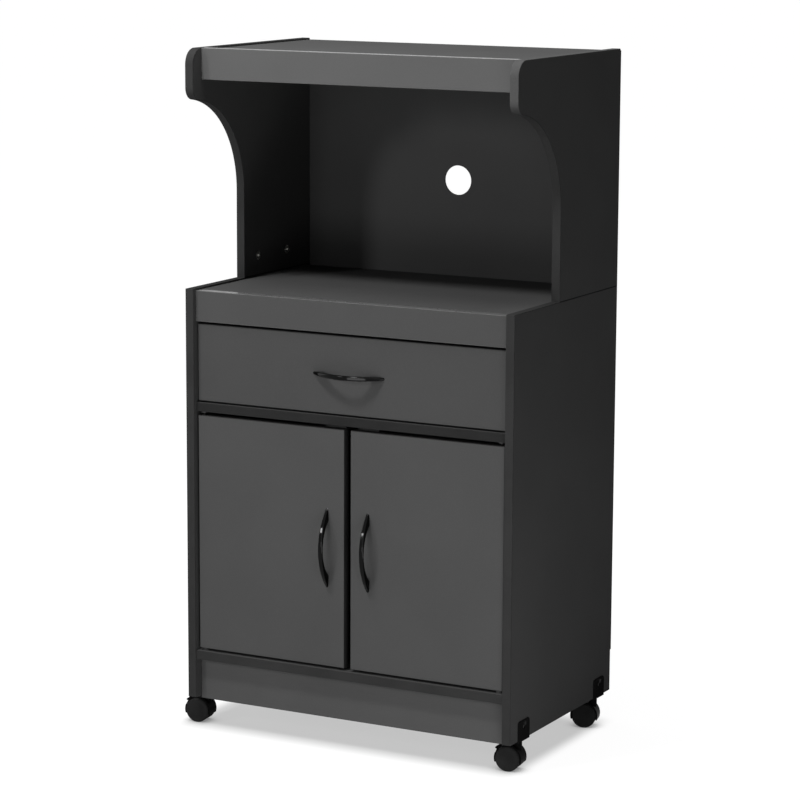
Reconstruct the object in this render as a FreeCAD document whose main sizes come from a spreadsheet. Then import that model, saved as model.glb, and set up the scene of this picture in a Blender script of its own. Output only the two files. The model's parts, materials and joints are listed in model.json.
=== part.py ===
import FreeCAD, Part
import math
import os
from types import SimpleNamespace

import Sketcher
from FreeCAD import Placement, Rotation, Vector

# A microwave cart: a two-door cupboard with a drawer on four twin-wheel casters, and an open hutch on top.
# X runs to the right, Y to the back and Z up. The origin is on the floor, midway between the caster stems.

SIZES = [
    # carcass
    ("cabinet_width", 600, "outside width, across both side panels"),
    ("side_depth", 383, "front to back of a lower side panel"),
    ("lower_height", 690, "height of a lower side panel"),
    ("hutch_height", 391, "height of a hutch side panel"),
    ("caster_rise", 12, "wheel tops to the underside of the side panels"),
    ("board", 15, "thickness of every laminated board"),
    ("back_board", 3, "thickness of the back panels"),
    ("arris", 0.8, "rounding of a board's visible edges"),
    # lower cabinet
    ("front_recess", 8, "side panel fronts to the worktop fascia, divider and doors"),
    ("worktop_drop", 3, "side panel tops to the worktop"),
    ("fascia_height", 51, "worktop fascia"),
    ("drawer_recess", 3.5, "fascia's face to the drawer front's face"),
    ("drawer_head_gap", 4, "fascia to the drawer front's top edge"),
    ("drawer_foot_gap", 3, "drawer front's lower edge to the divider"),
    ("drawer_side_gap", 1.8, "each side of the drawer front"),
    ("bottom_level", 66, "side panel feet to the bottom board's underside"),
    ("bottom_recess", 2, "side panel fronts to the bottom board"),
    ("drawer_front_height", 128, "drawer front"),
    ("door_top_gap", 6, "door to divider"),
    ("door_bottom_gap", 4, "door to bottom board"),
    ("door_side_gap", 3.6, "door to side panel"),
    ("door_meeting_gap", 11.6, "between the two doors"),
    ("toe_recess", 17, "side panel fronts to the toe board"),
    ("toe_drop", 4.5, "toe board below the side panels' feet"),
    ("lower_back_level", 70, "side panel feet to the lower back panel"),
    ("shelf_level", 195, "bottom board to the shelf's underside"),
    ("shelf_front_recess", 60, "side panel fronts to the shelf"),
    ("shelf_back_gap", 3, "shelf to back panel"),
    ("shelf_end_gap", 0.5, "shelf to each side panel"),
    # hutch
    ("nose_recess", 4, "lower side panel fronts to the hutch panel's nose"),
    ("nose_radius", 26, "top front corner of the hutch panel"),
    ("lip_radius", 20, "corner under the hutch panel's nose"),
    ("arm_recess", 162.5, "lower side panel fronts to the hutch panel's straight front edge"),
    ("curve_radius", 160, "hollow curve of the hutch panel"),
    ("curve_level", 148.5, "hutch panel's foot to the centre of its curve"),
    ("hutch_fascia_recess", 30, "lower side panel fronts to the hutch fascia"),
    ("hutch_fascia_height", 51, "hutch fascia"),
    ("hutch_top_drop", 3, "hutch panel tops to the top board"),
    ("cable_hole_radius", 25, "cable hole in the hutch back"),
    ("cable_hole_height", 163, "worktop to the cable hole's centre"),
    ("cable_hole_offset", 4, "middle of the hutch to the cable hole's centre, to the right"),
    # board joints
    ("cam_radius", 7.5, "bore for a cam lock"),
    ("cam_depth", 12.5, "height of a cam lock"),
    ("cam_setback", 33, "board end to the cam's centre"),
    ("cam_inset", 45, "board edge to the nearest cam bolt"),
    ("fascia_cam_level", 15, "fascia's lower edge to its cam bolt"),
    ("fascia_dowel_level", 36, "fascia's lower edge to its dowel"),
    ("hutch_cam_back_inset", 79.5, "hutch panel's back edge to its rear cam bolt"),
    ("hutch_dowel_back_inset", 20, "hutch panel's back edge to its rear dowel"),
    ("dowel_inset", 100, "level board's front edge to its dowels"),
    ("bolt_radius", 3, "shank of a cam bolt"),
    ("bolt_thread_radius", 2.5, "screwed end of a cam bolt"),
    ("bolt_thread_length", 10, "screwed end of a cam bolt"),
    ("dowel_radius", 4, "bore for a dowel"),
    ("dowel_length", 30, "whole dowel"),
    ("dowel_depth", 10, "dowel in the side panel"),
    ("slip", 0.05, "radial clearance of pins, shafts and dowels"),
    # screws
    ("screw_radius", 1.5, "wood screw shank"),
    ("screw_head_radius", 3, "countersunk head"),
    ("screw_head_depth", 1.6, "countersunk head"),
    ("screw_length", 13, "countersunk screw"),
    ("back_screw_inset", 25, "panel corner to the nearest back screw"),
    ("back_screw_spread", 280, "between the back screws of one board"),
    ("thin_head_depth", 0.7, "flat head of a runner screw"),
    ("runner_screw_length", 9, "runner screw"),
    ("pan_head_radius", 3.8, "pan head of a bracket or handle screw"),
    ("pan_head_depth", 2.2, "pan head of a bracket or handle screw"),
    ("handle_screw_radius", 2, "machine screw of a handle"),
    ("handle_screw_bite", 7, "machine screw in the handle's foot"),
    # shelf pins
    ("pin_radius", 2.5, "shelf pin bore"),
    ("pin_depth", 10, "shelf pin bore"),
    ("pin_rest_radius", 3.5, "part of the pin that carries the shelf"),
    ("pin_rest_length", 8, "part of the pin that carries the shelf"),
    ("pin_row_pitch", 32, "between the rows of shelf pin bores"),
    ("pin_column_inset", 40, "shelf edge to its pins"),
    # doors
    ("pivot_inset", 8, "door's outer edge to its pivot"),
    ("pivot_radius", 2.5, "pivot pin"),
    ("pivot_bite", 20, "pivot pin in the door's edge"),
    ("pivot_reach", 8, "pivot pin in its bush"),
    ("bush_radius", 4, "bush in the board"),
    ("bush_flange_radius", 6, "bush flange"),
    ("bush_flange", 1.5, "thickness of the upper bush's flange"),
    ("seat_gap", 0.3, "clearance between a moving piece and what carries it"),
    ("catch_length", 38, "magnetic catch, along the divider"),
    ("catch_depth", 15, "magnetic catch, front to back"),
    ("catch_drop", 20, "magnetic catch, below the divider"),
    ("catch_inset", 30, "cabinet's centre line to each catch"),
    ("strike_length", 32, "strike plate"),
    ("strike_height", 12, "strike plate"),
    ("strike_thickness", 1, "strike plate"),
    # handles
    ("handle_length", 131, "tip to tip"),
    ("handle_projection", 24, "door face to the bow's crown"),
    ("handle_thickness", 4.6, "bow's thickness at the crown"),
    ("handle_width", 8, "bow's width at the crown"),
    ("handle_tip_width", 5, "bow's width at its tips"),
    ("handle_foot_span", 88, "between the feet's inner ends"),
    ("handle_hole_spacing", 96, "between the handle's screws"),
    ("handle_rounding", 2.1, "bow's long edges"),
    ("door_handle_inset", 32, "door's meeting edge to its handle"),
    # drawer
    ("drawer_board", 12, "drawer sides and back"),
    ("drawer_bottom_thickness", 3, "drawer bottom"),
    ("drawer_box_headroom", 31.5, "drawer sides to the drawer front's top edge"),
    ("drawer_box_back_gap", 10, "drawer box to the lower back panel"),
    ("drawer_box_lift", 10, "divider to the drawer sides"),
    ("groove_level", 8, "drawer side's lower edge to its groove"),
    ("groove_depth", 6, "groove for the drawer bottom"),
    ("groove_play", 0.2, "groove over the drawer bottom's thickness"),
    ("runner_space", 12.5, "side panel to drawer side"),
    ("runner_steel", 1, "sheet of the runners"),
    ("runner_height", 22, "cabinet runner"),
    ("runner_flange", 9, "flanges of the runners"),
    ("runner_drop", 3, "drawer side's lower edge to the cabinet runner's underside"),
    ("runner_start", 2, "drawer front's back face to the runners"),
    ("roller_radius", 8.5, "runner roller"),
    ("roller_width", 6, "runner roller"),
    ("roller_setback", 12, "runner's end to its roller"),
    ("axle_radius", 2.5, "roller's and wheel's axle"),
    ("axle_head_radius", 3.5, "riveted head of a roller's axle"),
    ("axle_head", 0.8, "riveted head of a roller's axle"),
    # casters
    ("stem_inset", 8.5, "side panel's outer face to the caster's stem"),
    ("stem_end_inset", 47.5, "side panel's front and back edges to the caster stems"),
    ("stem_radius", 3.5, "caster's stem"),
    ("trail", 13.2, "stem to the wheels' axle"),
    ("wheel_radius", 20.5, "caster wheel"),
    ("wheel_width", 10, "each caster wheel"),
    ("wheel_track", 12, "gap between a caster's wheels"),
    ("wheel_bevel", 1.6, "edge of the wheel's face"),
    ("wheel_rim", 3.4, "wheel's tread ring"),
    ("wheel_face", 2.4, "wheel's outer disc"),
    ("wheel_hub_radius", 5, "wheel's hub"),
    ("axle_bite", 7, "axle in each wheel's hub"),
    ("hood_gap", 1, "wheels to hood"),
    ("hood_wall", 1.8, "hood's arch"),
    ("hood_width", 26, "hood's arch, along the axle"),
    ("hood_web", 11, "hood's body, between the wheels"),
    ("hood_skirt", 7, "axle to the hood's lower edge"),
    ("boss_radius", 6.5, "hood's stem boss"),
    ("boss_top", 6, "side panel's foot to the stem boss"),
    ("stem_bite", 17, "stem in its boss"),
    ("bracket_steel", 2, "caster bracket"),
    ("bracket_width", 40, "caster bracket, front to back"),
    ("bracket_height", 32, "caster bracket, up the side panel"),
    ("bracket_corner", 5, "caster bracket's top corners"),
    ("keyhole_level", 27, "side panel's foot to the bracket's screw"),
    ("keyhole_drop", 6, "keyhole's wide end below its screw"),
    ("keyhole_radius", 4.2, "keyhole's wide end"),
    ("keyhole_slot", 2.1, "half the width of the keyhole's slot"),
    ("flange_screw_offset", 14, "stem to each screw in the bracket's flange"),
    ("lever_width", 11, "brake lever's pedal"),
    ("lever_steel", 2.2, "brake lever's pedal"),
    ("lever_reach", 5, "hood to the pedal's tip"),
    ("lever_pin_radius", 1.2, "brake lever's pivot"),
    ("lever_pivot_angle", 131, "degrees round the hood, from the stem's side, to the lever's pivot"),
    ("brake_start", 137, "degrees round the hood to the brake shoe's near end"),
    ("brake_end", 158, "degrees round the hood to the brake shoe's far end"),
    ("pedal_angle", 150, "degrees round the hood to the pedal's root"),
    ("front_left_turn", 6, "degrees the front left caster is turned"),
    ("front_right_turn", 6, "degrees the front right caster is turned"),
    ("rear_left_turn", 10, "degrees the rear left caster is turned"),
    ("rear_right_turn", 14, "degrees the rear right caster is turned"),
]

doc = FreeCAD.newDocument("microwave_cart")


class Size:
    """A length bound to the sheet: the expression that gives it, and its value now."""

    def __init__(self, text, value):
        self.text = text
        self.value = value

    def __float__(self):
        return float(self.value)

    def __add__(self, other):
        other = size(other)
        return Size(f"({self.text} + {other.text})", self.value + other.value)

    def __sub__(self, other):
        other = size(other)
        return Size(f"({self.text} - {other.text})", self.value - other.value)

    def __mul__(self, other):
        other = size(other)
        return Size(f"({self.text} * {other.text})", self.value * other.value)

    def __truediv__(self, other):
        other = size(other)
        return Size(f"({self.text} / {other.text})", self.value / other.value)

    def __radd__(self, other):
        return size(other) + self

    def __rsub__(self, other):
        return size(other) - self

    def __rmul__(self, other):
        return size(other) * self

    def __neg__(self):
        return size(0) - self


def size(amount):
    return amount if isinstance(amount, Size) else Size(repr(float(amount)), float(amount))


def root(amount):
    return Size(f"sqrt({amount.text})", math.sqrt(amount.value))


def sheet_of_sizes():
    """Fills the spreadsheet and hands back every named size."""
    sheet = doc.addObject("Spreadsheet::Sheet", "sizes")
    named = {}
    for row, (name, amount, meaning) in enumerate(SIZES, 1):
        sheet.set(f"A{row}", name)
        sheet.set(f"B{row}", str(amount))
        sheet.set(f"C{row}", meaning)
        sheet.setAlias(f"B{row}", name)
        named[name] = Size(f"sizes.{name}", float(amount))
    sheet.recompute()
    return SimpleNamespace(**named)


s = sheet_of_sizes()

# Levels and planes that several pieces share.
HALF = s.cabinet_width / 2
INNER = HALF - s.board
FRONT = -s.side_depth / 2
BACK = s.side_depth / 2
FOOT = s.wheel_radius * 2 + s.caster_rise
SEAM = FOOT + s.lower_height
TOP = SEAM + s.hutch_height
FACE = FRONT + s.front_recess
FACE_BACK = FACE + s.board
DRAWER_FACE = FACE + s.drawer_recess
DRAWER_BACK = DRAWER_FACE + s.board
WORKTOP = SEAM - s.worktop_drop
FASCIA_LOW = WORKTOP - s.fascia_height
BOTTOM_LOW = FOOT + s.bottom_level
BOTTOM_TOP = BOTTOM_LOW + s.board
DRAWER_HIGH = FASCIA_LOW - s.drawer_head_gap
DRAWER_LOW = DRAWER_HIGH - s.drawer_front_height
DIVIDER_TOP = DRAWER_LOW - s.drawer_foot_gap
DIVIDER_LOW = DIVIDER_TOP - s.board
DOOR_HIGH = DIVIDER_LOW - s.door_top_gap
DOOR_LOW = BOTTOM_TOP + s.door_bottom_gap
SHELF_LOW = BOTTOM_TOP + s.shelf_level
HUTCH_TOP = TOP - s.hutch_top_drop

DIRECTIONS = {
    "+x": Vector(1, 0, 0),
    "-x": Vector(-1, 0, 0),
    "+y": Vector(0, 1, 0),
    "-y": Vector(0, -1, 0),
    "+z": Vector(0, 0, 1),
    "-z": Vector(0, 0, -1),
}
HOLES = {}
FITTINGS = {}
SUBPARTS = []
OVERCUT = 1  # how far a cutting shape runs past the face that it opens


# --- building blocks -------------------------------------------------------------------------------


def put(thing, at, turn=None):
    """Places an object, with each coordinate bound to the sheet."""
    thing.Placement = Placement(Vector(), turn or Rotation())
    for axis, amount in zip("xyz", at):
        thing.setExpression(f"Placement.Base.{axis}", size(amount).text)
    return thing


def block(low, high):
    """A box between two corners."""
    box = doc.addObject("Part::Box", "block")
    for side, start, end in zip(("Length", "Width", "Height"), low, high):
        box.setExpression(side, (size(end) - size(start)).text)
    return put(box, low)


def facing(direction):
    """The turn that takes +Z to a direction."""
    return Rotation(DIRECTIONS["+z"], DIRECTIONS[direction])


def rod(radius, length, at, along="+z"):
    cylinder = doc.addObject("Part::Cylinder", "rod")
    cylinder.setExpression("Radius", size(radius).text)
    cylinder.setExpression("Height", size(length).text)
    return put(cylinder, at, facing(along))


def taper(start_radius, end_radius, length, at, along="+z"):
    cone = doc.addObject("Part::Cone", "taper")
    cone.setExpression("Radius1", size(start_radius).text)
    cone.setExpression("Radius2", size(end_radius).text)
    cone.setExpression("Height", size(length).text)
    return put(cone, at, facing(along))


def fuse(*shapes):
    fused = doc.addObject("Part::MultiFuse", "fused")
    fused.Shapes = list(shapes)
    return fused


def cut(base, *tools):
    if not tools:
        return base
    difference = doc.addObject("Part::Cut", "cut")
    difference.Base = base
    difference.Tool = tools[0] if len(tools) == 1 else fuse(*tools)
    return difference


def common(base, tool):
    shared = doc.addObject("Part::Common", "common")
    shared.Base = base
    shared.Tool = tool
    return shared


def group(shapes):
    """Separate solids that make one node."""
    compound = doc.addObject("Part::Compound", "group")
    compound.Links = list(shapes)
    return compound


def copy_of(master, at, turn=None):
    link = doc.addObject("App::Link", "copy")
    link.LinkedObject = master
    link.LinkTransform = True
    return put(link, at, turn)


def subpart(label, thing):
    thing.Label = label
    SUBPARTS.append(thing)
    return thing


def rounded(solid, radius, chosen):
    """Rounds the edges that the test picks."""
    solid.recompute(True)
    fillet = doc.addObject("Part::Fillet", "rounded")
    fillet.Base = solid
    picked = [n for n, edge in enumerate(solid.Shape.Edges, 1) if chosen(edge)]
    fillet.Edges = [(n, float(radius), float(radius)) for n in picked]
    return fillet


def in_planes(*planes):
    """Picks the edges that lie in one of the planes, each given as an axis letter and a place."""

    def chosen(edge):
        box = edge.BoundBox
        for axis, place in planes:
            low = getattr(box, f"{axis.upper()}Min")
            high = getattr(box, f"{axis.upper()}Max")
            if abs(low - float(place)) < 0.01 and abs(high - float(place)) < 0.01:
                return True
        return False

    return chosen


def arc_centre(start, end, radius, bend):
    """Centre of the short arc between two points: bend is +1 where the way turns left, -1 where right."""
    chord = end.sub(start)
    rise = math.sqrt(max(radius**2 - (chord.Length / 2) ** 2, 0))
    left = Vector(-chord.y, chord.x, 0).normalize()
    return start.add(chord.multiply(0.5)).add(left.multiply(bend * rise))


def outline(body, plane, corners, bends=None):
    """A closed sketch through the corners. bends gives the radius and turn of the way after a corner."""
    bends = bends or {}
    sketch = body.newObject("Sketcher::SketchObject", "outline")
    support = next(f for f in body.Origin.OriginFeatures if f.Role == plane)
    sketch.AttachmentSupport = [(support, "")]
    sketch.MapMode = "FlatFace"
    points = [Vector(float(size(u)), float(size(v)), 0) for u, v in corners]
    first_ends = []
    for n, start in enumerate(points):
        end = points[(n + 1) % len(points)]
        if n not in bends:
            sketch.addGeometry(Part.LineSegment(start, end))
            first_ends.append((1, 2))
            continue
        radius, bend = bends[n]
        centre = arc_centre(start, end, float(radius), bend)
        low, high = (start, end) if bend > 0 else (end, start)
        angles = [math.atan2(p.y - centre.y, p.x - centre.x) for p in (low, high)]
        circle = Part.Circle(centre, Vector(0, 0, 1), float(radius))
        sketch.addGeometry(Part.ArcOfCircle(circle, *angles))
        first_ends.append((1, 2) if bend > 0 else (2, 1))
    for n, (u, v) in enumerate(corners):
        after = (n + 1) % len(corners)
        joined = (n, first_ends[n][1], after, first_ends[after][0])
        sketch.addConstraint(Sketcher.Constraint("Coincident", *joined))
        for kind, axis, amount in (("DistanceX", -2, u), ("DistanceY", -1, v)):
            if not isinstance(amount, Size):
                sketch.addConstraint(Sketcher.Constraint("PointOnObject", n, first_ends[n][0], axis))
                continue
            name = f"{kind}{n}"
            index = sketch.addConstraint(Sketcher.Constraint(kind, -1, 1, n, first_ends[n][0], float(amount)))
            sketch.renameConstraint(index, name)
            sketch.setExpression(f"Constraints.{name}", amount.text)
        if n in bends:
            name = f"Radius{n}"
            index = sketch.addConstraint(Sketcher.Constraint("Radius", n, float(bends[n][0])))
            sketch.renameConstraint(index, name)
            sketch.setExpression(f"Constraints.{name}", size(bends[n][0]).text)
    return sketch


def new_body(name):
    return doc.addObject("PartDesign::Body", name)


def padded(body, sketch, length, reverse=False):
    pad = body.newObject("PartDesign::Pad", "pad")
    pad.Profile = sketch
    pad.setExpression("Length", size(length).text)
    pad.Reversed = reverse
    sketch.recompute()
    return pad


def revolved(body, sketch):
    turned = body.newObject("PartDesign::Revolution", "revolution")
    turned.Profile = sketch
    turned.ReferenceAxis = (sketch, ["V_Axis"])
    turned.Angle = 360
    return turned


# --- fasteners, each made once at the origin and copied to its places ----------------------------------


def cam_lock_set():
    """Cam, bolt and their bores. +X runs into the board with the cam, +Z out of the face that shows it."""
    face = s.board / 2
    centre = s.cam_setback
    pocket_depth = s.cam_depth + 0.5
    housing = fuse(
        rod(s.cam_radius, pocket_depth + OVERCUT, (centre, 0, face + OVERCUT), "-z"),
        rod(s.bolt_radius + 1, s.cam_setback + OVERCUT, (-OVERCUT, 0, 0), "+x"),
    )
    pilot = rod(s.bolt_thread_radius, s.bolt_thread_length + OVERCUT, (OVERCUT, 0, 0), "-x")
    recess_arm = s.cam_radius / 2
    recess_half = 0.9
    recess_low = face - 1.6
    cam = cut(
        rod(s.cam_radius - s.slip, s.cam_depth, (centre, 0, face), "-z"),
        rod(s.bolt_radius + 1, s.cam_radius + 5, (centre - s.cam_radius - OVERCUT, 0, 0), "+x"),
        *(
            block((centre - along, -across, recess_low), (centre + along, across, face + OVERCUT))
            for along, across in ((recess_arm, recess_half), (recess_half, recess_arm))
        ),
    )
    head = 4
    bolt = fuse(
        rod(s.bolt_thread_radius, s.bolt_thread_length, (0, 0, 0), "-x"),
        rod(s.bolt_radius, s.cam_setback - head, (0, 0, 0), "+x"),
        rod(s.bolt_radius + 0.6, head, (s.cam_setback - head, 0, 0), "+x"),
    )
    return SimpleNamespace(housing=housing, pilot=pilot, cam=cam, bolt=bolt)


def dowel_set():
    """Dowel and its two bores. +X runs into the longer bore."""
    board_depth = s.dowel_length - s.dowel_depth
    return SimpleNamespace(
        dowel=rod(s.dowel_radius - s.slip, s.dowel_length, (-s.dowel_depth, 0, 0), "+x"),
        board_bore=rod(s.dowel_radius, board_depth + 0.5 + OVERCUT, (-OVERCUT, 0, 0), "+x"),
        side_bore=rod(s.dowel_radius, s.dowel_depth + 0.5 + OVERCUT, (OVERCUT, 0, 0), "-x"),
    )


def countersunk_screw():
    """Screw and its bore, going down from the face at Z = 0."""
    screw = fuse(
        taper(s.screw_head_radius, s.screw_radius, s.screw_head_depth, (0, 0, 0), "-z"),
        rod(s.screw_radius, s.screw_length, (0, 0, 0), "-z"),
    )
    wide = s.screw_head_radius + s.slip
    bore = fuse(
        taper(wide, s.screw_radius + s.slip, s.screw_head_depth + s.slip, (0, 0, 0), "-z"),
        rod(s.screw_radius + s.slip, s.screw_length + 0.5, (0, 0, 0), "-z"),
        rod(wide, OVERCUT, (0, 0, 0), "+z"),
    )
    return SimpleNamespace(screw=screw, bore=bore)


def headed_screw(head_radius, head_depth, radius, length, domed=False):
    """Screw whose head stands on the face at Z = 0, and its bore below."""
    head = rod(head_radius, head_depth, (0, 0, 0), "+z")
    if domed:
        head = rounded(head, head_depth * 0.45, in_planes(("z", head_depth)))
        slot_half = 0.5
        slot_low, slot_high = head_depth - 0.9, head_depth + OVERCUT
        slot = block((-head_radius, -slot_half, slot_low), (head_radius, slot_half, slot_high))
        head = cut(head, slot)
    screw = fuse(head, rod(radius, length, (0, 0, 0), "-z"))
    bore = rod(radius + s.slip, length + 0.5 + OVERCUT, (0, 0, OVERCUT), "-z")
    return SimpleNamespace(screw=screw, bore=bore)


def add_hole(owner, shape):
    HOLES.setdefault(owner, []).append(shape)


def add_fitting(node, shape):
    FITTINGS.setdefault(node, []).append(shape)


def joint_turn(into, face):
    return Rotation(DIRECTIONS[into], DIRECTIONS[face].cross(DIRECTIONS[into]), DIRECTIONS[face], "ZXY")


def cam_joint(at, into, face, board, side):
    turn = joint_turn(into, face)
    add_hole(board, copy_of(CAM.housing, at, turn))
    add_hole(side, copy_of(CAM.pilot, at, turn))
    add_fitting("cam_locks", copy_of(CAM.cam, at, turn))
    add_fitting("cam_bolts", copy_of(CAM.bolt, at, turn))


def dowel_joint(at, into, face, board, side):
    turn = joint_turn(into, face)
    add_hole(board, copy_of(DOWEL.board_bore, at, turn))
    add_hole(side, copy_of(DOWEL.side_bore, at, turn))
    add_fitting("wood_dowels", copy_of(DOWEL.dowel, at, turn))


def screw_down(kind, node, at, out, *owners):
    """A screw whose head is at a point, pointing out, bored through its owners."""
    turn = facing(out)
    for owner in owners:
        add_hole(owner, copy_of(kind.bore, at, turn))
    add_fitting(node, copy_of(kind.screw, at, turn))


# --- carcass ---------------------------------------------------------------------------------------


def flat_joints(board, low_y, high_y, middle_z, left, right):
    """Two cams and a dowel at each end of a level board."""
    for into, side, x in (("+x", left, -INNER), ("-x", right, INNER)):
        for y in (low_y + s.cam_inset, high_y - s.cam_inset):
            cam_joint((x, y, middle_z), into, "-z", board, side)
        dowel_joint((x, low_y + s.dowel_inset, middle_z), into, "-z", board, side)


def upright_joints(board, middle_y, low_z, left, right):
    """A cam and a dowel at each end of a board that stands across the cabinet."""
    for into, side, x in (("+x", left, -INNER), ("-x", right, INNER)):
        cam_joint((x, middle_y, low_z + s.fascia_cam_level), into, "+y", board, side)
        dowel_joint((x, middle_y, low_z + s.fascia_dowel_level), into, "+y", board, side)


def lower_boards():
    left, right = "left_side_panel", "right_side_panel"
    bottom_front = FRONT + s.bottom_recess
    toe_front = FRONT + s.toe_recess
    toe_low = FOOT - s.toe_drop
    flat_joints("worktop", FACE_BACK, BACK, WORKTOP - s.board / 2, left, right)
    flat_joints("drawer_divider", FACE, BACK, DIVIDER_LOW + s.board / 2, left, right)
    flat_joints("bottom_board", bottom_front, BACK, BOTTOM_LOW + s.board / 2, left, right)
    upright_joints("worktop_fascia", FACE + s.board / 2, FASCIA_LOW, left, right)
    upright_joints("toe_board", toe_front + s.board / 2, toe_low, left, right)
    return {
        left: ((-HALF, FRONT, FOOT), (-INNER, BACK, SEAM), (("y", FRONT), ("z", SEAM))),
        right: ((INNER, FRONT, FOOT), (HALF, BACK, SEAM), (("y", FRONT), ("z", SEAM))),
        "worktop": ((-INNER, FACE_BACK, WORKTOP - s.board), (INNER, BACK, WORKTOP), ()),
        "worktop_fascia": ((-INNER, FACE, FASCIA_LOW), (INNER, FACE_BACK, WORKTOP), (("y", FACE),)),
        "drawer_divider": ((-INNER, FACE, DIVIDER_LOW), (INNER, BACK, DIVIDER_TOP), (("y", FACE),)),
        "bottom_board": (
            (-INNER, bottom_front, BOTTOM_LOW), (INNER, BACK, BOTTOM_TOP), (("y", bottom_front),)
        ),
        "toe_board": (
            (-INNER, toe_front, toe_low), (INNER, toe_front + s.board, BOTTOM_LOW), (("y", toe_front),)
        ),
        "lower_back_panel": ((-HALF, BACK, FOOT + s.lower_back_level), (HALF, BACK + s.back_board, SEAM), ()),
    }


def hutch_boards():
    left, right = "hutch_left_panel", "hutch_right_panel"
    fascia_front = FRONT + s.hutch_fascia_recess
    fascia_back = fascia_front + s.board
    fascia_low = TOP - s.hutch_fascia_height
    flat_joints("hutch_top_board", fascia_back, BACK, HUTCH_TOP - s.board / 2, left, right)
    upright_joints("hutch_fascia", fascia_front + s.board / 2, fascia_low, left, right)
    arm_front = FRONT + s.arm_recess
    for panel, lower, x, face in (
        (left, "left_side_panel", -HALF + s.board / 2, "+x"),
        (right, "right_side_panel", HALF - s.board / 2, "-x"),
    ):
        first = arm_front + s.cam_inset
        last = BACK - s.hutch_cam_back_inset
        for y in (first, last):
            cam_joint((x, y, SEAM), "+z", face, panel, lower)
        for y in ((first + last) / 2, BACK - s.hutch_dowel_back_inset):
            dowel_joint((x, y, SEAM), "+z", face, panel, lower)
    return {
        "hutch_top_board": ((-INNER, fascia_back, HUTCH_TOP - s.board), (INNER, BACK, HUTCH_TOP), ()),
        "hutch_fascia": (
            (-INNER, fascia_front, fascia_low), (INNER, fascia_back, TOP), (("y", fascia_front),)
        ),
        "hutch_back_panel": ((-HALF, BACK, SEAM), (HALF, BACK + s.back_board, HUTCH_TOP), ()),
    }


def hutch_panel(x):
    """Side of the hutch: a nose at the top, and a hollow curve down to a straight front edge."""
    body = new_body("hutch_side")
    curve_y = s.arm_recess - s.curve_radius
    lip_y = s.nose_recess + s.lip_radius
    reach = s.curve_radius + s.lip_radius
    lip_z = s.curve_level + root(reach * reach - (lip_y - curve_y) * (lip_y - curve_y))
    touch_y = curve_y + (lip_y - curve_y) * s.curve_radius / reach
    touch_z = s.curve_level + (lip_z - s.curve_level) * s.curve_radius / reach
    corners = [
        (s.arm_recess, 0),
        (s.side_depth, 0),
        (s.side_depth, s.hutch_height),
        (s.nose_recess + s.nose_radius, s.hutch_height),
        (s.nose_recess, s.hutch_height - s.nose_radius),
        (s.nose_recess, lip_z),
        (touch_y, touch_z),
        (s.arm_recess, s.curve_level),
    ]
    bends = {3: (s.nose_radius, 1), 5: (s.lip_radius, 1), 6: (s.curve_radius, -1)}
    padded(body, outline(body, "YZ_Plane", corners, bends), s.board)
    put(body, (x, FRONT, SEAM))
    body.recompute(True)
    back, foot = float(BACK), float(SEAM)

    def on_profile(edge):
        box = edge.BoundBox
        flat = box.XLength < 0.01
        return flat and box.YMax < back + 0.01 and box.YMin < back - 0.01 and box.ZMax > foot + 0.01

    return rounded(body, s.arris, on_profile)


def back_screws():
    """Countersunk screws through the back panels into the boards' rear edges."""
    outside = BACK + s.back_board
    edge_x = HALF - s.board / 2
    rows = 4
    for panel, low, high, sides, count in (
        ("lower_back_panel", FOOT + s.lower_back_level, SEAM, ("left_side_panel", "right_side_panel"), rows),
        ("hutch_back_panel", SEAM, HUTCH_TOP, ("hutch_left_panel", "hutch_right_panel"), rows - 1),
    ):
        step = (high - low - s.back_screw_inset * 2) / (count - 1)
        for n in range(count):
            z = low + s.back_screw_inset + step * n
            for side, x in zip(sides, (-edge_x, edge_x)):
                screw_down(WOOD_SCREW, "back_panel_screws", (x, outside, z), "+y", panel, side)
    for panel, board, z in (
        ("lower_back_panel", "bottom_board", BOTTOM_LOW + s.board / 2),
        ("lower_back_panel", "drawer_divider", DIVIDER_LOW + s.board / 2),
        ("lower_back_panel", "worktop", WORKTOP - s.board / 2),
        ("hutch_back_panel", "hutch_top_board", HUTCH_TOP - s.board / 2),
    ):
        for x in (-s.back_screw_spread / 2, s.back_screw_spread / 2):
            screw_down(WOOD_SCREW, "back_panel_screws", (x, outside, z), "+y", panel, board)


def shelf_and_pins():
    """Loose shelf on four pins, with rows of spare bores above and below."""
    shelf_front = FRONT + s.shelf_front_recess
    shelf_back = BACK - s.shelf_back_gap
    end = INNER - s.shelf_end_gap
    shelf = block((-end, shelf_front, SHELF_LOW), (end, shelf_back, SHELF_LOW + s.board))
    subpart("cupboard_shelf", rounded(shelf, s.arris, in_planes(("y", shelf_front))))
    level = SHELF_LOW - s.pin_rest_radius
    for side, x, outward, inward in (
        ("left_side_panel", -INNER, "-x", "+x"),
        ("right_side_panel", INNER, "+x", "-x"),
    ):
        into_room = 1 if inward == "+x" else -1
        for y in (shelf_front + s.pin_column_inset, shelf_back - s.pin_column_inset):
            for row in (-1, 0, 1):
                z = level + s.pin_row_pitch * row
                start = x + OVERCUT * into_room
                add_hole(side, rod(s.pin_radius, s.pin_depth + OVERCUT, (start, y, z), outward))
            peg = rod(s.pin_radius - s.slip, s.pin_depth - 0.5, (x, y, level), outward)
            rest = rod(s.pin_rest_radius, s.pin_rest_length, (x, y, level), inward)
            add_fitting("shelf_pins", fuse(peg, rest))


# --- drawer ----------------------------------------------------------------------------------------


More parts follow.
